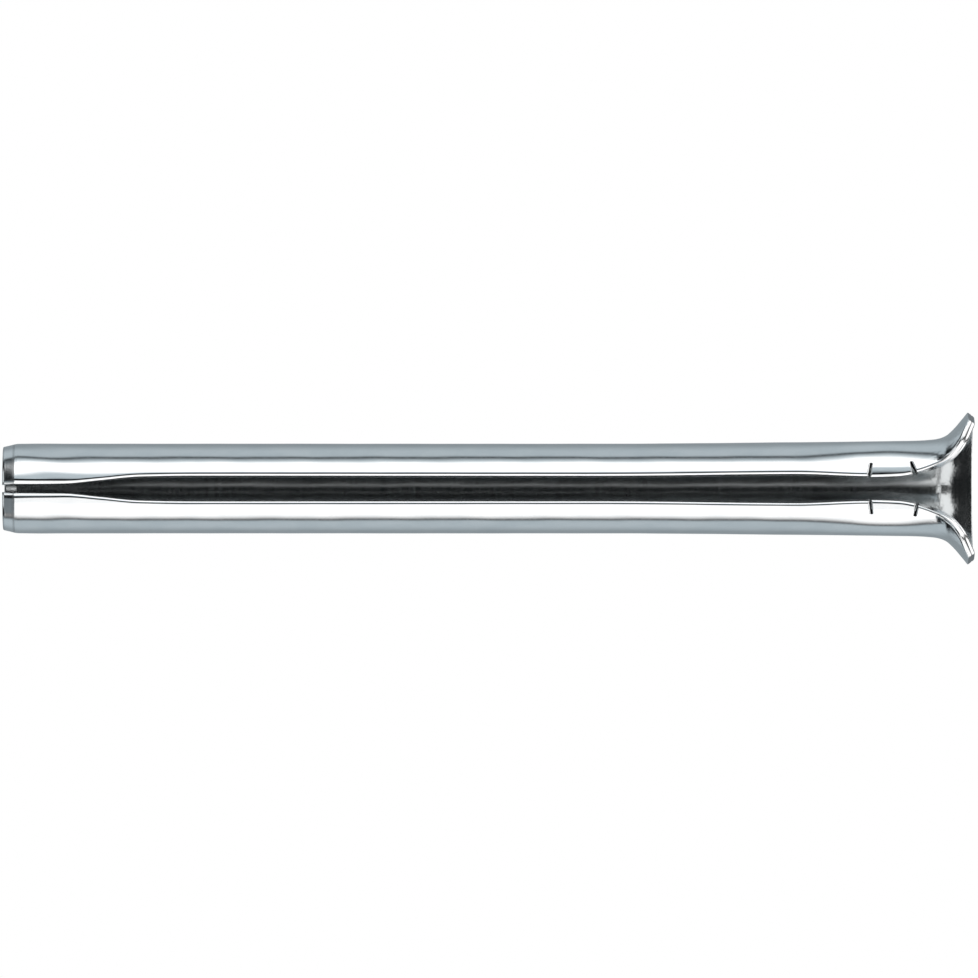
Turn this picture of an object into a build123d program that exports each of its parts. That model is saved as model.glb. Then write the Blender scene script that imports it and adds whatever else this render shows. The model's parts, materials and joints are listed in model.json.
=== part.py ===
from build123d import *
import os
from math import cos, radians, sin

# Hammer-in wall anchor: one strip of spring steel sheet, rolled into a tube that stays open along one side.
# The axis lies along X. The head flares towards +X, out of the wall, and the slot faces -Y.
# The origin is on the axis, where the shank ends and the head starts to flare.
# Lengths are in millimetres and angles in degrees.

WALL = 0.6
SHANK_LENGTH = 61.0
SHANK_RADIUS = 3.0
HEAD_LENGTH = 4.0

# The tip is swaged to a short cone, so that the anchor finds the drilled hole.
SWAGE_LENGTH = 0.9
TIP_RADIUS = 2.79

# The shank is a true cylinder from the swage to here, and then swells a little up to the neck.
SWELL_START = -21.0
NECK_RADIUS = 3.2
NECK_SLOPE = 2.0

# The head is a trumpet. Its rim is cut square to the sheet.
RIM_RADIUS = 5.1
RIM_SLOPE = 52.0
RIM_X = HEAD_LENGTH - WALL * sin(radians(RIM_SLOPE))

# Stations along the outside of the sheet: (x, radius, slope, half of the slot's opening as an angle
# about the axis).
TIP = (-SHANK_LENGTH, TIP_RADIUS, 0.0, 6.8)
SWAGE_END = (-SHANK_LENGTH + SWAGE_LENGTH, SHANK_RADIUS, 0.0, 6.8)
SLOT_WIDENS = (
    (-57.0, SHANK_RADIUS, 0.0, 7.2),
    (-54.4, SHANK_RADIUS, 0.0, 12.8),
    (-51.8, SHANK_RADIUS, 0.0, 18.3),
    (-48.0, SHANK_RADIUS, 0.0, 19.8),
)
SWELL = (
    (SWELL_START, SHANK_RADIUS, 0.0, 19.6),
    (-7.8, 3.10, 0.5, 21.3),
    (-4.0, 3.14, 0.6, 18.7),
    (-1.1, 3.18, 0.7, 19.7),
    (0.0, NECK_RADIUS, NECK_SLOPE, 23.0),
)
HEAD = (
    (0.8, 3.24, 5.0, 27.5),
    (1.6, 3.34, 15.0, 33.5),
    (2.26, 3.66, 42.0, 40.5),
    (2.86, 4.28, 50.0, 48.0),
    (RIM_X, RIM_RADIUS, RIM_SLOPE, 66.0),
)

# The slot's cutting faces stand this far out of the sheet on both sides and at both ends. Past the rim, they
# go on opening by this angle.
CUT_MARGIN = 0.3
OPENING_PAST_RIM = 9.0
# A saw cut down the middle of the slot opens the tube before the sides are sheared.
SAW_CUT_WIDTH = 0.2

# Two tabs beside the slot are lanced out of the neck and pressed inwards about a hinge line. Each tab is a
# little shorter than its window, whose end slants away from it towards the slot.
TAB_START = -3.0
UPPER_TAB_END = -0.5
LOWER_TAB_END = -0.25
WINDOW_END = 0.42
TAB_HINGE_ANGLE = 37.0
TAB_ROOT_ANGLE = 4.0
TAB_WIDTH = 0.87
TAB_PRESS_ANGLE = 16.0
TAB_WALL = 0.5
# The wedges that cut the windows reach this far from the axis, well out of the neck.
WINDOW_REACH = 6.4


def in_sheet(station, depth):
    """(x, radius) of the point at a depth below the outside of the sheet, square to it."""
    x, radius, slope, _ = station
    return x + depth * sin(radians(slope)), radius - depth * cos(radians(slope))


def about_axis(radius, angle, side):
    """(y, z) of the point at an angle from the slot's middle, on the side above or below the axis."""
    return -radius * cos(radians(angle)), side * radius * sin(radians(angle))


def sheet_surface(depth):
    """One surface of the sheet as a line from the tip to the rim, in the half plane of the slot's middle."""

    def point(station):
        x, radius = in_sheet(station, depth)
        return x, -radius

    def curve(stations):
        headings = [(cos(radians(s[2])), -sin(radians(s[2]))) for s in stations]
        return Edge.make_spline([point(s) for s in stations], headings)

    return [
        Edge.make_line(point(TIP), point(SWAGE_END)),
        Edge.make_line(point(SWAGE_END), point(SWELL[0])),
        curve(SWELL),
        curve((SWELL[-1], *HEAD)),
    ]


def closed_tube():
    """The anchor with no slot yet."""
    outside, inside = sheet_surface(0.0), sheet_surface(WALL)
    tip = Edge.make_line(outside[0] @ 0, inside[0] @ 0)
    rim = Edge.make_line(outside[-1] @ 1, inside[-1] @ 1)
    return Solid.revolve(Face(Wire(outside + inside + [tip, rim])), 360, Axis.X)


def slot_stations():
    """Every station that shapes the slot, with one more past each end of the anchor."""
    before = (-SHANK_LENGTH - CUT_MARGIN, SHANK_RADIUS, 0.0, TIP[3])
    x, radius, slope, angle = HEAD[-1]
    beyond_x = x + CUT_MARGIN * cos(radians(slope))
    beyond_radius = radius + CUT_MARGIN * sin(radians(slope))
    beyond = (beyond_x, beyond_radius, slope, angle + OPENING_PAST_RIM)
    return (before, *SLOT_WIDENS, *SWELL, *HEAD, beyond)


def slot_face(side):
    """The face that shears one side of the slot, square to the sheet all along."""

    def guide(depth):
        points = []
        for station in slot_stations():
            x, radius = in_sheet(station, depth)
            points.append((x, *about_axis(radius, station[3], side)))
        return Edge.make_spline(points)

    return Face.make_surface_from_curves(guide(-CUT_MARGIN), guide(WALL + CUT_MARGIN))


def saw_cut():
    """A thin slab from the axis out through the middle of the slot."""
    length = SHANK_LENGTH + HEAD_LENGTH + 2 * CUT_MARGIN
    slab = Box(length, RIM_RADIUS + CUT_MARGIN, SAW_CUT_WIDTH, align=(Align.MIN, Align.MAX, Align.CENTER))
    return Pos(-SHANK_LENGTH - CUT_MARGIN, 0, 0) * slab


def tab_window(side, tab_end):
    """What is lanced out of the neck around a tab: a wedge about the axis with one slanted end."""
    corner = about_axis(WINDOW_REACH, TAB_HINGE_ANGLE, side)
    wedge_face = Face(Wire.make_polygon([(TAB_START, 0, 0), (TAB_START, -WINDOW_REACH, 0), (TAB_START, *corner)]))
    wedge = Solid.extrude(wedge_face, Vector(WINDOW_END - TAB_START, 0, 0))
    hinge_z = side * NECK_RADIUS * sin(radians(TAB_HINGE_ANGLE))
    beyond = WINDOW_END + CUT_MARGIN
    front = [
        (tab_end, -WINDOW_REACH, hinge_z),
        (beyond, -WINDOW_REACH, hinge_z),
        (beyond, -WINDOW_REACH, 0),
        (WINDOW_END, -WINDOW_REACH, 0),
    ]
    return wedge - Solid.extrude(Face(Wire.make_polygon(front)), Vector(0, WINDOW_REACH, 0))


def tab(side, tab_end):
    """A flat plate that leaves the neck at the hinge line and leans inwards towards the slot."""
    middle = NECK_RADIUS - WALL / 2
    outside, inside = middle + TAB_WALL / 2, middle - TAB_WALL / 2
    lean = TAB_HINGE_ANGLE - TAB_PRESS_ANGLE
    hinge_y, hinge_z = about_axis(middle, TAB_HINGE_ANGLE, side)
    free_y = hinge_y - TAB_WIDTH * sin(radians(lean))
    free_z = hinge_z - side * TAB_WIDTH * cos(radians(lean))
    out_y, out_z = about_axis(TAB_WALL / 2, lean, side)
    outline = [
        about_axis(outside, TAB_HINGE_ANGLE + TAB_ROOT_ANGLE, side),
        about_axis(outside, TAB_HINGE_ANGLE, side),
        (free_y + out_y, free_z + out_z),
        (free_y - out_y, free_z - out_z),
        about_axis(inside, TAB_HINGE_ANGLE, side),
        about_axis(inside, TAB_HINGE_ANGLE + TAB_ROOT_ANGLE, side),
    ]
    face = Face(Wire.make_polygon([(TAB_START, y, z) for y, z in outline]))
    return Solid.extrude(face, Vector(tab_end - TAB_START, 0, 0))


def sleeve():
    """The whole anchor: the tube, slotted, with its two tabs."""
    body = (closed_tube() - saw_cut()).solid()
    for side in (1, -1):
        body = max(body.split(slot_face(side), keep=Keep.ALL), key=lambda piece: piece.volume)
    for side, tab_end in ((1, UPPER_TAB_END), (-1, LOWER_TAB_END)):
        body = (body - tab_window(side, tab_end) + tab(side, tab_end)).solid()
    return body


os.makedirs("parts", exist_ok=True)
export_step(sleeve(), "parts/sleeve.step")
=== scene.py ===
import json
from math import cos, hypot, pi, radians, sin

import bpy
import numpy as np
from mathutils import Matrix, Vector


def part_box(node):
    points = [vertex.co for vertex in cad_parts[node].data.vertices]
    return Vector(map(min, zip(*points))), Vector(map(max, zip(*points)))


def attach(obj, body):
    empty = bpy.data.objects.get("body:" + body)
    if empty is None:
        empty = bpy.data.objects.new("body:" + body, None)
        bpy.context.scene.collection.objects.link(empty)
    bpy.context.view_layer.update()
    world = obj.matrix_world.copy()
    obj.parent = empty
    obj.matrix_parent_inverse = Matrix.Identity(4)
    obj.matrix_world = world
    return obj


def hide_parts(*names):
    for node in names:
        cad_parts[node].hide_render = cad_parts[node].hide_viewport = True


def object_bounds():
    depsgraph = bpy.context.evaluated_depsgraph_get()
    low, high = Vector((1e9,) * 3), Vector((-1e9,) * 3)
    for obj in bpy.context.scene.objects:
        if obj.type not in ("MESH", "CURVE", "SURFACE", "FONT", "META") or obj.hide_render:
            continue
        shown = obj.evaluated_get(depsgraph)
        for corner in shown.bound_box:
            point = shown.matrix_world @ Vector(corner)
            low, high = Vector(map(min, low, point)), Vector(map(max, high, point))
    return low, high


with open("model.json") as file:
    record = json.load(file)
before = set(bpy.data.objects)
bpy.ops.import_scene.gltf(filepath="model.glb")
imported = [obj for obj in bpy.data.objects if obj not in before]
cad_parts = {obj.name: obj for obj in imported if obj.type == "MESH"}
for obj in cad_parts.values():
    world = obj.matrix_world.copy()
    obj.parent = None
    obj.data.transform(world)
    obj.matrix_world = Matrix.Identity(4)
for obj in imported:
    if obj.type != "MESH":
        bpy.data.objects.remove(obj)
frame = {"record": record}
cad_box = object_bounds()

# The looks of a hammer-in wall anchor: one strip of zinc plated spring steel, rolled into a slotted tube.
# As in the CAD, the axis lies along X, the head flares towards +X and the slot faces -Y. The shape below is
# worked out in millimetres, and angles about the axis are measured from the middle of the slot, over the top.

MM = 0.001

# Sizes that the frame gives.
box_low, box_high = (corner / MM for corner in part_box("sleeve"))
shank_mount = next(mount for mount in frame["record"]["mounts"] if mount["name"] == "shank")
TIP_X, HEAD_X, HEAD_RADIUS = box_low.x, box_high.x, box_high.z
SHANK_RADIUS = shank_mount["dims"]["r_mm"]
SWELL_START = shank_mount["pos_m"][0] / MM
SWAGE_END = SWELL_START - shank_mount["dims"]["length_mm"]

WALL = 0.6
TIP_RADIUS = 2.79
RIM_SLOPE = 52.0
RIM_X = HEAD_X - WALL * sin(radians(RIM_SLOPE))

# The swaged cone meets the shank at a slightly rounded crease, with a faint groove from the die.
CREASE_ROUNDING = 0.03
CREASE_GROOVE = 0.008
CREASE_GROOVE_WIDTH = 0.06

# The outside of the sheet from the end of the straight shank to the rim: x, radius and slope in degrees.
NECK_AND_HEAD = (
    (SWELL_START, SHANK_RADIUS, 0.0),
    (-7.8, 3.10, 0.5),
    (-4.0, 3.14, 0.6),
    (-1.1, 3.18, 0.7),
    (0.0, 3.20, 2.0),
    (0.8, 3.24, 5.0),
    (1.6, 3.34, 15.0),
    (2.26, 3.66, 42.0),
    (2.86, 4.28, 50.0),
    (RIM_X, HEAD_RADIUS, RIM_SLOPE),
)

# Half of the slot's opening along the anchor, below its rolled-over corners: x and degrees about the axis.
SLOT_OPENING = (
    (TIP_X, 6.0),
    (SWAGE_END, 6.0),
    (-57.0, 6.4),
    (-54.4, 11.2),
    (-51.8, 16.2),
    (-48.0, 17.4),
    (SWELL_START, 17.2),
    (-7.8, 19.2),
    (-4.0, 18.3),
    (-1.1, 19.7),
    (0.0, 23.0),
    (0.8, 27.5),
    (1.6, 33.5),
    (2.26, 40.5),
    (2.86, 48.0),
    (RIM_X, 66.0),
)

# Each tab is cut free at both ends by a gap that runs from a hinge line to the slot. The x of the gaps'
# sides, at the hinge and at the slot: the window's edge and the tab's end towards the tip, then the tab's end
# and the window's edge towards the head.
LANCED = {
    "upper": ((-3.02, -3.17), (-2.94, -3.06), (-0.36, -0.22), (-0.30, 0.02)),
    "lower": ((-2.99, -3.10), (-2.91, -2.99), (-0.12, 0.00), (-0.04, 0.12)),
}
# The hinge lines lie this many degrees from the slot's middle. They run on over the head as lines of the
# grid, and keep this clear of the slot there.
HINGE_ANGLE = 37.0
HINGE_CLEARANCE = 14.0
# The tabs turn inwards by this angle, little by little over this length from the hinge.
TAB_PRESS_ANGLE = 9.5
TAB_BEND_LENGTH = 0.95

# Pressing the tabs in has flattened the front of the neck: fully up to the first angle from the slot's middle,
# and not at all past the second one.
FLAT_DEPTH = 0.40
FLAT_MIDDLE = -2.2
FLAT_HALF_LENGTH = 6.0
FLAT_FROM, FLAT_TO = 25.0, 80.0

# Every sheared edge has small round corners and a shallow step where the steel broke. The shear has also
# rolled the outside over beside the slot, in two slopes, most widely where the tip was swaged.
EDGE_ROUNDING = 0.045
ROUNDING_START = 35.0
BREAK_DEPTH = 0.02
BREAK_MIDDLE = 0.56
BREAK_HALF_WIDTH = 0.08
ROLL_OVER = ((0.19, 0.30), (0.09, 0.58))
ROLL_OVER_SOFTNESS = 0.015
ROLL_OVER_AT_TIP = 1.7
TIP_EFFECT = 6.0

# The inside of the rim is worn round.
RIM_WEAR = 0.05
RIM_WEAR_WIDTH = 0.20

# Slow waves that the rolling left in the sheet: height, waves per millimetre along, waves around, phase.
WAVES = (
    (0.0016, 0.021, 5, 0.4),
    (0.0013, 0.043, 7, 2.1),
    (0.0009, 0.090, 6, 4.0),
    (0.0022, 0.160, 8, 5.1),
    (0.0012, 0.370, 10, 0.9),
)
# The swaging has left more of them in this length of the tip, before they fade.
TIP_WAVES = (
    (0.0110, 0.130, 6, 1.0),
    (0.0060, 0.260, 8, 3.3),
)
TIP_WAVES_LENGTH = 2.0

# How far the plating is darkened and dulled: painted shade in the narrow gaps round the tabs, a darker,
# rougher rim, and two painted dark lines at the tip, one at its end and one where the crease's shading turns
# from dark to light. The lines' width, and how far the second one lies from the crease.
SHADE_IN_GAPS, DULL_AND_DARKER_RIM, PAINTED_DARK_LINE = 1.0, 0.55, 0.6
PAINTED_DARK_LINE_WIDTH = 0.05
DARK_LINE_SETBACK = 0.16

# Opening the head out has left an orange peel texture, from here on.
PEEL_FROM, PEEL_FADE = 0.6, 1.2

# The grid of the sheet's faces. Columns run round the sheet and rows run along it from the tip to the rim.
# The columns crowd this close to the crease, and lie evenly along the shank up to a place before the tabs.
CREASE_REACH = 0.12
BEFORE_TABS_X = -4.2
AFTER_TABS_X = 0.7
COLUMNS_AT_TIP = 8
COLUMNS_AT_CREASE = 10
COLUMNS_ON_SHANK = 125
COLUMNS_BEFORE_TABS = 8
COLUMNS_ON_TABS = 24
COLUMNS_AT_NECK = 8
COLUMNS_ON_HEAD = 30
COLUMNS_AT_RIM = 8
ROWS_TO_HINGE = 18
ROWS_AROUND = 100
ROWS_CROWDING = 1.5
HINGE_SOFTNESS = 4.0
STEPS_IN_ROUNDING = 4

# The outside of the sheet is worked out at close points: their step along the shank, how far before the tip
# they start, and their step as a share of each stretch of the neck and head.
LINE_STEP = 0.01
LINE_LEAD = 0.1
STRETCH_STEP = 0.005

# A corner of the sheet's edge that is sharper than this is cut short, so that it doesn't grow a spike.
LEAST_AGREEMENT = 0.5


def hermite(t, start, end, start_slope, end_slope):
    """A cubic from start to end with those slopes, for t from 0 to 1."""
    return (
        (2 * t**3 - 3 * t**2 + 1) * start
        + (t**3 - 2 * t**2 + t) * start_slope
        + (3 * t**2 - 2 * t**3) * end
        + (t**3 - t**2) * end_slope
    )


def smooth_step(t):
    """From 0 to 1 with level ends."""
    t = np.clip(t, 0, 1)
    return t * t * (3 - 2 * t)


def soft_ramp(distance, softness):
    """Zero below zero and the distance itself above it, with a round corner."""
    return (distance + np.hypot(distance, softness)) / 2


def smooth_through(at, places, values):
    """A smooth curve through known values, with no overshoot."""
    places, values = np.array(places), np.array(values)
    rises = np.diff(values) / np.diff(places)
    product = rises[:-1] * rises[1:]
    total = np.where(product > 0, rises[:-1] + rises[1:], 1)
    slopes = np.concatenate([rises[:1], np.where(product > 0, 2 * product / total, 0), rises[-1:]])
    k = np.clip(np.searchsorted(places, at) - 1, 0, len(rises) - 1)
    width = places[k + 1] - places[k]
    t = (at - places[k]) / width
    return hermite(t, values[k], values[k + 1], slopes[k] * width, slopes[k + 1] * width)


def outside_line():
    """Close points along the outside of the sheet: x, radius and slope in radians."""
    x = np.arange(TIP_X - LINE_LEAD, SWELL_START, LINE_STEP)
    taper = (SHANK_RADIUS - TIP_RADIUS) / (SWAGE_END - TIP_X)
    groove = CREASE_GROOVE * np.exp(-(((x - SWAGE_END) / CREASE_GROOVE_WIDTH) ** 2))
    xs, radii = [x], [SHANK_RADIUS - taper * soft_ramp(SWAGE_END - x, CREASE_ROUNDING) - groove]
    t = np.arange(0, 1, STRETCH_STEP)
    for (x0, r0, slope0), (x1, r1, slope1) in zip(NECK_AND_HEAD, NECK_AND_HEAD[1:]):
        chord = hypot(x1 - x0, r1 - r0)
        slope0, slope1 = radians(slope0), radians(slope1)
        xs.append(hermite(t, x0, x1, chord * np.cos(slope0), chord * np.cos(slope1)))
        radii.append(hermite(t, r0, r1, chord * np.sin(slope0), chord * np.sin(slope1)))
    xs.append([RIM_X])
    radii.append([HEAD_RADIUS])
    x, radius = np.concatenate(xs), np.concatenate(radii)
    slope = np.where(x > SWELL_START, np.arctan(np.gradient(radius, x)), 0)
    return x, radius, slope


LINE_X, LINE_RADIUS, LINE_SLOPE = outside_line()


def slot_edge(x):
    """Half of the slot's opening at x, in radians."""
    places, angles = zip(*SLOT_OPENING)
    return np.radians(smooth_through(x, places, angles))


def from_middle(angle):
    """How far round from the slot's middle an angle is, either way, in degrees."""
    return np.degrees(np.minimum(angle, 2 * pi - angle))


def flattening(x, angle):
    """How far the front of the neck is pushed in."""
    along = smooth_step(1 - np.abs(x - FLAT_MIDDLE) / FLAT_HALF_LENGTH)
    around = smooth_step((FLAT_TO - from_middle(angle)) / (FLAT_TO - FLAT_FROM))
    return FLAT_DEPTH * along * around


def waves(x, angle):
    """How far the sheet's waves stand out."""
    total = np.zeros(np.broadcast(x, angle).shape)
    near_tip = smooth_step(1 - (x - TIP_X - TIP_WAVES_LENGTH) / TIP_EFFECT)
    for strength, group in ((1, WAVES), (near_tip, TIP_WAVES)):
        for height, per_mm, around, phase in group:
            total += strength * height * np.sin(2 * pi * per_mm * x + around * angle + phase)
    return total


def sheet_point(x, angle, depth):
    """A point at a depth below the outside of the sheet, square to it."""
    slope = np.interp(x, LINE_X, LINE_SLOPE)
    radius = np.interp(x, LINE_X, LINE_RADIUS) - flattening(x, angle) + waves(x, angle)
    radius = np.minimum(radius, HEAD_RADIUS)
    out = radius - depth * np.cos(slope)
    return np.stack([x + depth * np.sin(slope), -out * np.cos(angle), out * np.sin(angle)], axis=-1)


def column_places(row_side, share):
    """x of the grid's main columns along one row. share runs from 0 at the slot to 1 at the hinge."""
    window_low, tab_low, tab_high, window_high = (
        hinge * share + slot * (1 - share) for hinge, slot in row_side
    )
    return [
        TIP_X + EDGE_ROUNDING,
        SWAGE_END - CREASE_REACH,
        SWAGE_END + CREASE_REACH,
        BEFORE_TABS_X,
        window_low - EDGE_ROUNDING,
        tab_low + EDGE_ROUNDING,
        tab_high - EDGE_ROUNDING,
        window_high + EDGE_ROUNDING,
        AFTER_TABS_X,
        RIM_X - RIM_WEAR_WIDTH,
        RIM_X - EDGE_ROUNDING * cos(radians(RIM_SLOPE)),
    ]


# How many columns lie between one place and the next. A gap beside a tab is a single one.
COLUMN_COUNTS = (
    COLUMNS_AT_TIP,
    COLUMNS_AT_CREASE,
    COLUMNS_ON_SHANK,
    COLUMNS_BEFORE_TABS,
    1,
    COLUMNS_ON_TABS,
    1,
    COLUMNS_AT_NECK,
    COLUMNS_ON_HEAD,
    COLUMNS_AT_RIM,
)
MAIN_COLUMNS = np.concatenate([[0], np.cumsum(COLUMN_COUNTS)])
WINDOW_LOW, TAB_LOW, TAB_HIGH, WINDOW_HIGH = MAIN_COLUMNS[4:8]
LAST_COLUMN = MAIN_COLUMNS[-1]
UPPER_HINGE_ROW = ROWS_TO_HINGE
LOWER_HINGE_ROW = ROWS_TO_HINGE + ROWS_AROUND
LAST_ROW = 2 * ROWS_TO_HINGE + ROWS_AROUND


def grid():
    """x and the angle about the axis of every grid point, by column and row."""
    columns = np.arange(LAST_COLUMN + 1)
    to_hinge = np.linspace(0, 1, ROWS_TO_HINGE + 1) ** ROWS_CROWDING
    x = np.zeros((LAST_COLUMN + 1, LAST_ROW + 1))
    upper_back = np.array(column_places(LANCED["upper"], 1.0))
    lower_back = np.array(column_places(LANCED["lower"], 1.0))
    for row in range(LAST_ROW + 1):
        if row <= UPPER_HINGE_ROW:
            places = column_places(LANCED["upper"], to_hinge[row])
        elif row >= LOWER_HINGE_ROW:
            places = column_places(LANCED["lower"], to_hinge[LAST_ROW - row])
        else:
            blend = smooth_step((row - UPPER_HINGE_ROW) / ROWS_AROUND)
            places = upper_back * (1 - blend) + lower_back * blend
        x[:, row] = np.interp(columns, MAIN_COLUMNS, places)
    edge = slot_edge(x) + EDGE_ROUNDING / np.interp(x, LINE_X, LINE_RADIUS)
    excess = edge + radians(HINGE_CLEARANCE) - radians(HINGE_ANGLE)
    hinge = radians(HINGE_ANGLE) + (excess + np.hypot(excess, radians(HINGE_SOFTNESS))) / 2
    angle = np.zeros_like(x)
    for row in range(LAST_ROW + 1):
        if row <= UPPER_HINGE_ROW:
            angle[:, row] = edge[:, row] + to_hinge[row] * (hinge - edge)[:, row]
        elif row >= LOWER_HINGE_ROW:
            angle[:, row] = 2 * pi - edge[:, row] - to_hinge[LAST_ROW - row] * (hinge - edge)[:, row]
        else:
            share = (row - UPPER_HINGE_ROW) / ROWS_AROUND
            angle[:, row] = hinge[:, row] + share * (2 * pi - 2 * hinge[:, row])
    return x, angle


def roll_over(x, angle):
    """How far the shear has rolled the outside in, beside the slot."""
    radius = np.interp(x, LINE_X, LINE_RADIUS)
    away = (np.minimum(angle, 2 * pi - angle) - slot_edge(x)) * radius
    widen = 1 + (ROLL_OVER_AT_TIP - 1) * smooth_step(1 - (x - TIP_X) / TIP_EFFECT)
    return sum(slope * soft_ramp(width * widen - away, ROLL_OVER_SOFTNESS) for width, slope in ROLL_OVER)


def rim_wear(x):
    """How much the inside of the sheet is worn away near the rim."""
    away = (RIM_X - x) / cos(radians(RIM_SLOPE))
    return RIM_WEAR * np.clip(1 - away / RIM_WEAR_WIDTH, 0, 1) ** 2


def press_tabs(points, x, angle):
    """Turns each tab's points inwards about its hinge line."""
    tab = slice(TAB_LOW, TAB_HIGH + 1)
    for turn, rows, hinge_row in (
        (1, slice(0, UPPER_HINGE_ROW), UPPER_HINGE_ROW),
        (-1, slice(LOWER_HINGE_ROW + 1, LAST_ROW + 1), LOWER_HINGE_ROW),
    ):
        pivot = sheet_point(x[tab, hinge_row], angle[tab, hinge_row], WALL / 2)[:, None, :]
        away = np.abs(angle[tab, rows] - angle[tab, hinge_row][:, None]) * SHANK_RADIUS
        press = turn * radians(TAB_PRESS_ANGLE) * smooth_step(away / TAB_BEND_LENGTH)
        arm = points[tab, rows] - pivot
        y = arm[..., 1] * np.cos(press) - arm[..., 2] * np.sin(press)
        z = arm[..., 1] * np.sin(press) + arm[..., 2] * np.cos(press)
        points[tab, rows, 1] = pivot[..., 1] + y
        points[tab, rows, 2] = pivot[..., 2] + z
    return points


def edge_profile():
    """The sheared edge in section: (how far out, share of the depth that is straight, depth to add)."""
    start = radians(ROUNDING_START)
    radius = EDGE_ROUNDING / (1 - sin(start))
    turns = np.linspace(start, pi / 2, STEPS_IN_ROUNDING + 1)[1:]
    top = [(radius * (sin(a) - sin(start)), 0.0, radius * (cos(start) - cos(a))) for a in turns]
    step = [
        (EDGE_ROUNDING, BREAK_MIDDLE - BREAK_HALF_WIDTH, 0.0),
        (EDGE_ROUNDING - BREAK_DEPTH, BREAK_MIDDLE, 0.0),
        (EDGE_ROUNDING, BREAK_MIDDLE + BREAK_HALF_WIDTH, 0.0),
    ]
    bottom = [(out, 1.0, -add) for out, _, add in reversed(top)]
    return top + step + bottom


def outward(edges, outer, inner):
    """At each point along the sheet's edge, the way out of the sheet, long enough to keep a corner square."""
    through = inner - outer
    start, end = edges[:, 0], edges[:, 1]
    middle = (outer + inner) / 2
    along = middle[end] - middle[start]
    out = np.cross(through[start] + through[end], along)
    out /= np.linalg.norm(out, axis=1)[:, None]
    leaving = np.zeros_like(outer)
    arriving = np.zeros_like(outer)
    leaving[start] = out
    arriving[end] = out
    total = leaving + arriving
    agreement = 1 + np.sum(leaving * arriving, axis=1)
    return total / np.maximum(agreement, LEAST_AGREEMENT)[:, None]


def sheet_mesh():
    """The whole anchor as one closed mesh of four-sided faces."""
    x, angle = grid()
    outer = press_tabs(sheet_point(x, angle, roll_over(x, angle)), x, angle)
    inner = press_tabs(sheet_point(x, angle, WALL - rim_wear(x)), x, angle)
    shape = x.shape
    outer, inner = outer.reshape(-1, 3), inner.reshape(-1, 3)
    number = np.arange(len(outer)).reshape(shape)
    cells = np.stack([number[:-1, :-1], number[1:, :-1], number[1:, 1:], number[:-1, 1:]], axis=-1)
    kept = np.ones(cells.shape[:2], bool)
    for gap in (WINDOW_LOW, TAB_HIGH):
        kept[gap, :UPPER_HINGE_ROW] = False
        kept[gap, LOWER_HINGE_ROW:] = False
    cells = cells[kept]

    sides = np.concatenate([cells[:, [k, (k + 1) % 4]] for k in range(4)])
    keys = sides[:, 0] * len(outer) + sides[:, 1]
    back_keys = sides[:, 1] * len(outer) + sides[:, 0]
    edges = sides[~np.isin(keys, back_keys)]

    out = outward(edges, outer, inner)
    around_edge = np.unique(edges)
    place = np.full(len(outer), -1)
    place[around_edge] = np.arange(len(around_edge))
    top, bottom = outer[around_edge], inner[around_edge]
    depth = np.linalg.norm(bottom - top, axis=1)[:, None]
    down = (bottom - top) / depth
    rings, cut = [], []
    for reach, share, add in edge_profile():
        level = share * depth + add
        rings.append(top + down * level + out[around_edge] * reach)
    count, ring_size = len(outer), len(around_edge)
    points = np.concatenate([outer, inner, *rings])

    start, end = edges[:, 0], edges[:, 1]
    levels = [(start, end)]
    for k in range(len(rings)):
        first = 2 * count + k * ring_size
        levels.append((first + place[start], first + place[end]))
    levels.append((count + start, count + end))
    skirts = [
        np.stack([low_end, low_start, high_start, high_end], axis=-1)
        for (low_start, low_end), (high_start, high_end) in zip(levels, levels[1:])
    ]
    faces = np.concatenate([cells, cells[:, ::-1] + count, *skirts])
    on_cut = np.concatenate([np.zeros(2 * count), np.ones(len(rings) * ring_size)])
    on_bore = np.concatenate([np.zeros(count), np.ones(count), np.zeros(len(rings) * ring_size)])
    column, row = np.unravel_index(around_edge, shape)
    lanced = np.isin(column, (WINDOW_LOW, TAB_LOW, TAB_HIGH, WINDOW_HIGH))
    in_gap = lanced & (row > 0) & (row < LAST_ROW)
    # Painted shade: the cut faces in the gaps round the tabs are made near black, and the rim's cut face is
    # darkened and roughened.
    darkened_edge = in_gap * SHADE_IN_GAPS + (column == LAST_COLUMN) * DULL_AND_DARKER_RIM
    dull_and_painted_shade = np.concatenate([np.zeros(2 * count), np.tile(darkened_edge, len(rings))])
    # Painted dark lines round the tip, at its end and just before the crease, where the shading turns from
    # dark to light.
    for line_x in (TIP_X, SWAGE_END - DARK_LINE_SETBACK):
        line = PAINTED_DARK_LINE * np.exp(-(((points[:, 0] - line_x) / PAINTED_DARK_LINE_WIDTH) ** 2))
        dull_and_painted_shade = np.maximum(dull_and_painted_shade, line * (1 - on_bore))
    on_head = smooth_step((points[:, 0] - PEEL_FROM) / PEEL_FADE)
    used = np.unique(faces)
    renumber = np.full(len(points), -1)
    renumber[used] = np.arange(len(used))
    shares = {"cut_edge": on_cut, "bore": on_bore, "dull_and_painted_shade": dull_and_painted_shade, "head": on_head}
    return points[used], renumber[faces], {name: values[used] for name, values in shares.items()}


def build_sleeve(material):
    """The sheet as an object, with the shares that its material reads."""
    points, faces, shares = sheet_mesh()
    mesh = bpy.data.meshes.new("sleeve_sheet")
    mesh.from_pydata((points * MM).tolist(), [], faces.tolist())
    for name, values in shares.items():
        attribute = mesh.attributes.new(name, "FLOAT", "POINT")
        attribute.data.foreach_set("value", values.astype(np.float32))
    mesh.materials.append(material)
    mesh.shade_smooth()
    mesh.update()
    sleeve = bpy.data.objects.new("plated_sleeve", mesh)
    bpy.context.scene.collection.objects.link(sleeve)
    return sleeve


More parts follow.
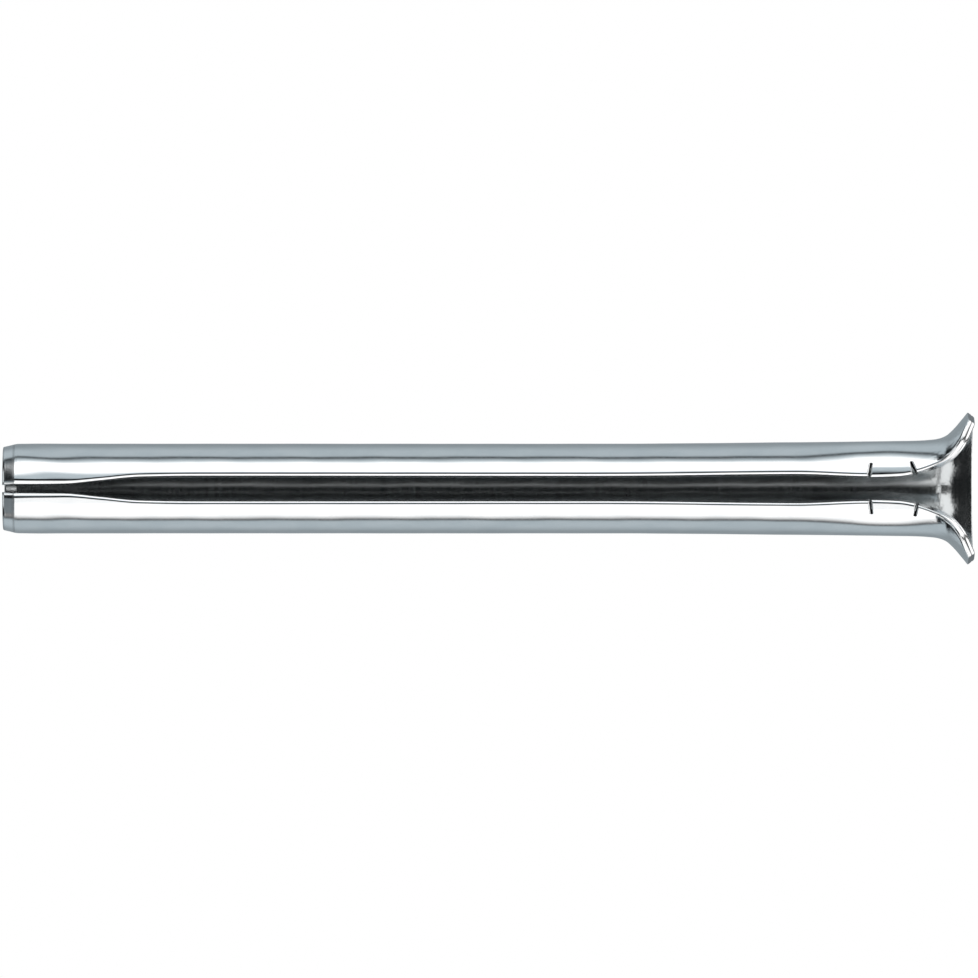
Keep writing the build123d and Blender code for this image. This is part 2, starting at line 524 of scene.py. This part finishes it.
class Nodes:
    """Short calls that add and join shader nodes in one tree."""

    def __init__(self, tree):
        self.tree = tree
        tree.nodes.clear()

    def add(self, kind, inputs=(), **settings):
        node = self.tree.nodes.new(kind)
        for name, value in settings.items():
            setattr(node, name, value)
        for name, value in dict(inputs).items():
            if isinstance(value, bpy.types.NodeSocket):
                self.tree.links.new(value, node.inputs[name])
            else:
                node.inputs[name].default_value = value
        return node

    def math(self, operation, *values):
        return self.add("ShaderNodeMath", enumerate(values), operation=operation).outputs[0]

    def add_up(self, total, *terms):
        """A value, plus each of the others times its share."""
        for value, share in terms:
            total = self.math("ADD", total, self.math("MULTIPLY", value, share))
        return total

    def ramp(self, value, low, high, to_low=0.0, to_high=1.0):
        inputs = {"Value": value, "From Min": low, "From Max": high, "To Min": to_low, "To Max": to_high}
        return self.add("ShaderNodeMapRange", inputs, interpolation_type="SMOOTHSTEP").outputs[0]

    def mix(self, factor, a, b):
        node = self.add("ShaderNodeMix", {0: factor}, data_type="RGBA")
        for socket, value in ((node.inputs[6], a), (node.inputs[7], b)):
            if isinstance(value, bpy.types.NodeSocket):
                self.tree.links.new(value, socket)
            else:
                socket.default_value = (*value, 1)
        return node.outputs[2]

    def noise(self, coordinates, per_mm, detail=2.0):
        """Noise with that many grains per millimetre along x, y and z."""
        scale = tuple(grains / MM for grains in per_mm)
        mapping = self.add("ShaderNodeMapping", {"Vector": coordinates, "Scale": scale})
        inputs = {"Vector": mapping.outputs[0], "Scale": 1.0, "Detail": detail}
        return self.add("ShaderNodeTexNoise", inputs).outputs[0]


# The plating's colours: in its darker and lighter patches, on sheared edges, in the bore, and the near black
# of the painted shade in the gaps and the painted dark lines, which also darkens the rim.
DARKER_PATCH = (0.80, 0.82, 0.83)
LIGHTER_PATCH = (0.86, 0.87, 0.875)
CUT_COLOUR = (0.93, 0.935, 0.94)
BORE_COLOUR = (0.60, 0.62, 0.625)
# Painted shade: near black in the gaps round the tabs and in the dark lines at the tip; it also darkens the
# rim.
PAINTED_SHADE_COLOUR = (0.06, 0.06, 0.06)

# Its roughness, and what the sheared edges, the bore and the dull places with painted shade add to that.
SMOOTHEST, ROUGHEST = 0.07, 0.15
CUT_ROUGHER, BORE_ROUGHER, DULL_ROUGHER = 0.08, 0.09, 0.30

# Grains per millimetre along x, y and z, and the part of the noise's range that is used.
RING_GRAINS = (7.0, 0.25, 0.25)
FINE_GRAINS = (9.0, 9.0, 9.0)
PATCH_GRAINS = (0.5, 0.9, 0.9)
PEEL_GRAINS = (3.5, 3.5, 3.5)
NOISE_LOW, NOISE_HIGH = 0.3, 0.7

# The height of the relief in millimetres, and how much of it each pattern makes.
RELIEF = 0.0012
RINGS_IN_RELIEF, GRAIN_IN_RELIEF, PEEL_IN_RELIEF = 0.6, 0.4, 15.0


def zinc_plated_steel():
    """Bright zinc plating, with fine marks round the tube from rolling and orange peel on the head."""
    material = bpy.data.materials.new("zinc_plated_steel")
    material.use_nodes = True
    nodes = Nodes(material.node_tree)
    place = nodes.add("ShaderNodeTexCoord").outputs["Object"]
    cut = nodes.add("ShaderNodeAttribute", attribute_name="cut_edge").outputs["Fac"]
    bore = nodes.add("ShaderNodeAttribute", attribute_name="bore").outputs["Fac"]
    dull_and_painted_shade = nodes.add("ShaderNodeAttribute", attribute_name="dull_and_painted_shade").outputs["Fac"]
    head = nodes.add("ShaderNodeAttribute", attribute_name="head").outputs["Fac"]

    rings = nodes.noise(place, RING_GRAINS, detail=3.0)
    grain = nodes.noise(place, FINE_GRAINS, detail=3.0)
    patches = nodes.noise(place, PATCH_GRAINS, detail=3.0)
    peel = nodes.noise(place, PEEL_GRAINS, detail=2.0)

    patchy = nodes.mix(nodes.ramp(patches, NOISE_LOW, NOISE_HIGH), DARKER_PATCH, LIGHTER_PATCH)
    with_cut = nodes.mix(cut, patchy, CUT_COLOUR)
    with_bore = nodes.mix(bore, with_cut, BORE_COLOUR)
    # Painted shade: the colour goes near black in the gaps and the dark lines at the tip, and partly so on the
    # rim.
    colour = nodes.mix(dull_and_painted_shade, with_bore, PAINTED_SHADE_COLOUR)

    marks = nodes.add_up(nodes.math("MULTIPLY", rings, 0.5), (grain, 0.5))
    shine = nodes.ramp(marks, NOISE_LOW, NOISE_HIGH, SMOOTHEST, ROUGHEST)
    roughness = nodes.add_up(shine, (cut, CUT_ROUGHER), (bore, BORE_ROUGHER), (dull_and_painted_shade, DULL_ROUGHER))

    peeled = nodes.math("MULTIPLY", head, nodes.math("SUBTRACT", 1.0, cut))
    peel_on_head = nodes.math("MULTIPLY", peel, peeled)
    height = nodes.math("MULTIPLY", rings, RINGS_IN_RELIEF)
    height = nodes.add_up(height, (grain, GRAIN_IN_RELIEF), (peel_on_head, PEEL_IN_RELIEF))
    bump = nodes.add("ShaderNodeBump", {"Height": height, "Distance": RELIEF * MM, "Strength": 1.0})
    surface = nodes.add(
        "ShaderNodeBsdfPrincipled",
        {"Base Color": colour, "Metallic": 1.0, "Roughness": roughness, "Normal": bump.outputs[0]},
    )
    nodes.add("ShaderNodeOutputMaterial", {"Surface": surface.outputs[0]})
    return material


# The studio round the anchor, as its metal sees it: a dark room with panels in it. Each panel's middle and
# half width in degrees about the X axis, from the front and over the top; its middle and half width along X,
# where 1 is straight to the right; its soft border in degrees; its brightness. A later panel hangs in front
# of an earlier one.
ROOM = 0.012
PANELS = (
    # A pale backdrop, brightest where the softboxes light it from above and below.
    (180, 90, 0.0, 0.58, 10, 0.54),
    (180, 52, 0.0, 0.66, 40, 0.33),
    # Two softboxes in front, above and below the camera, brightest in the middle.
    (51, 31, 0.0, 0.36, 14, 0.62),
    (56, 16, 0.0, 0.36, 13, 1.5),
    (-47, 35, 0.0, 0.36, 16, 1.15),
    (-55, 16, 0.0, 0.36, 10, 1.5),
    # A black flag round the camera, and a small card to its right.
    (7, 11, 0.0, 0.42, 5, 0.01),
    (0, 12, 0.45, 0.05, 4, 2.2),
    # A grey card to the left of the lower softbox.
    (-46, 28, -0.41, 0.09, 8, 0.22),
    # Softboxes at both ends, and white cards behind them.
    (59, 45, 0.70, 0.22, 10, 1.3),
    (-59, 45, 0.70, 0.22, 10, 1.3),
    (0, 64, -0.67, 0.12, 8, 0.9),
    (180, 22, 0.70, 0.14, 8, 1.2),
    (180, 40, -0.70, 0.16, 30, 0.55),
    (180, 15, -0.70, 0.16, 4, 1.3),
    # A grey card past the tip.
    (0, 180, -1.0, 0.12, 4, 0.4),
)
# The soft border of a panel's ends, along X.
END_BORDER = 0.06

# A panel this bright is plain white, and a darker one is faintly blue: less red and more blue, fully so from
# this much darker on.
PLAIN_FROM, TINT_FADE = 1.1, 0.5
LESS_RED, MORE_BLUE = 0.12, 0.07


def tint(brightness):
    """The colour of a panel."""
    blue = min(max((PLAIN_FROM - brightness) / TINT_FADE, 0), 1)
    return brightness * (1 - LESS_RED * blue), brightness, brightness * (1 + MORE_BLUE * blue)


def light_the_studio():
    """A world that is plain white to the camera, and a room of soft panels to the metal."""
    world = bpy.data.worlds.new("studio")
    bpy.context.scene.world = world
    world.use_nodes = True
    nodes = Nodes(world.node_tree)
    toward = nodes.add("ShaderNodeTexCoord").outputs["Generated"]
    parts = nodes.add("ShaderNodeSeparateXYZ", {0: toward}).outputs
    forward = nodes.math("MULTIPLY", parts["Y"], -1.0)
    around = nodes.math("DEGREES", nodes.math("ARCTAN2", parts["Z"], forward))

    colour = tint(ROOM)
    for middle, half, end_middle, end_half, border, brightness in PANELS:
        turned = nodes.math("WRAP", nodes.math("SUBTRACT", around, float(middle)), 180.0, -180.0)
        off = nodes.math("ABSOLUTE", turned)
        across = nodes.ramp(off, half - border / 2, half + border / 2, 1.0, 0.0)
        off = nodes.math("ABSOLUTE", nodes.math("SUBTRACT", parts["X"], end_middle))
        along = nodes.ramp(off, end_half - END_BORDER, end_half + END_BORDER, 1.0, 0.0)
        colour = nodes.mix(nodes.math("MULTIPLY", across, along), colour, tint(brightness))
    seen = nodes.add("ShaderNodeLightPath").outputs["Is Camera Ray"]
    colour = nodes.mix(seen, colour, (1.0, 1.0, 1.0))
    background = nodes.add("ShaderNodeBackground", {"Color": colour})
    nodes.add("ShaderNodeOutputWorld", {"Surface": background.outputs[0]})


# The floor and the camera are laid out in metres.
FLOOR_DROP = 0.12
FLOOR_RADIUS = 0.7
FLOOR_SIDES = 96
FLOOR_COLOURS = (0.90, 0.90, 0.90), (0.93, 0.93, 0.93)
FLOOR_GRAINS = (0.02, 0.02, 0.02)
FLOOR_ROUGHNESS = 0.8


def lay_the_floor():
    """A plain pale disc, which the metal doesn't mirror."""
    bpy.ops.mesh.primitive_circle_add(
        vertices=FLOOR_SIDES, radius=FLOOR_RADIUS, fill_type="NGON", location=(0, 0, -FLOOR_DROP)
    )
    floor = bpy.context.object
    floor.name = "floor"
    floor.visible_glossy = False
    material = bpy.data.materials.new("pale_floor")
    material.use_nodes = True
    nodes = Nodes(material.node_tree)
    place = nodes.add("ShaderNodeTexCoord").outputs["Object"]
    paint = nodes.mix(nodes.noise(place, FLOOR_GRAINS), *FLOOR_COLOURS)
    surface = nodes.add("ShaderNodeBsdfPrincipled", {"Base Color": paint, "Roughness": FLOOR_ROUGHNESS})
    nodes.add("ShaderNodeOutputMaterial", {"Surface": surface.outputs[0]})
    floor.data.materials.append(material)


CAMERA_DISTANCE = 1.1
CAMERA_RISE = -0.00003
FRAME_TO_LENGTH = 1.0068
SENSOR_WIDTH = 36.0
CLIP_START, CLIP_END = 0.01, 10


def place_the_camera():
    """Straight on to the slot, with the anchor's whole length just inside the frame."""
    low, high = cad_box
    data = bpy.data.cameras.new("camera")
    camera = bpy.data.objects.new("camera", data)
    bpy.context.scene.collection.objects.link(camera)
    camera.location = ((low.x + high.x) / 2, -CAMERA_DISTANCE, CAMERA_RISE)
    camera.rotation_euler = (pi / 2, 0, 0)
    data.sensor_width = SENSOR_WIDTH
    data.lens = SENSOR_WIDTH * CAMERA_DISTANCE / ((high.x - low.x) * FRAME_TO_LENGTH)
    data.clip_start, data.clip_end = CLIP_START, CLIP_END
    bpy.context.scene.camera = camera


sleeve = build_sleeve(zinc_plated_steel())
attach(sleeve, "root")
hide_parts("sleeve")

light_the_studio()
lay_the_floor()
place_the_camera()
bpy.context.scene.view_settings.view_transform = "Standard"
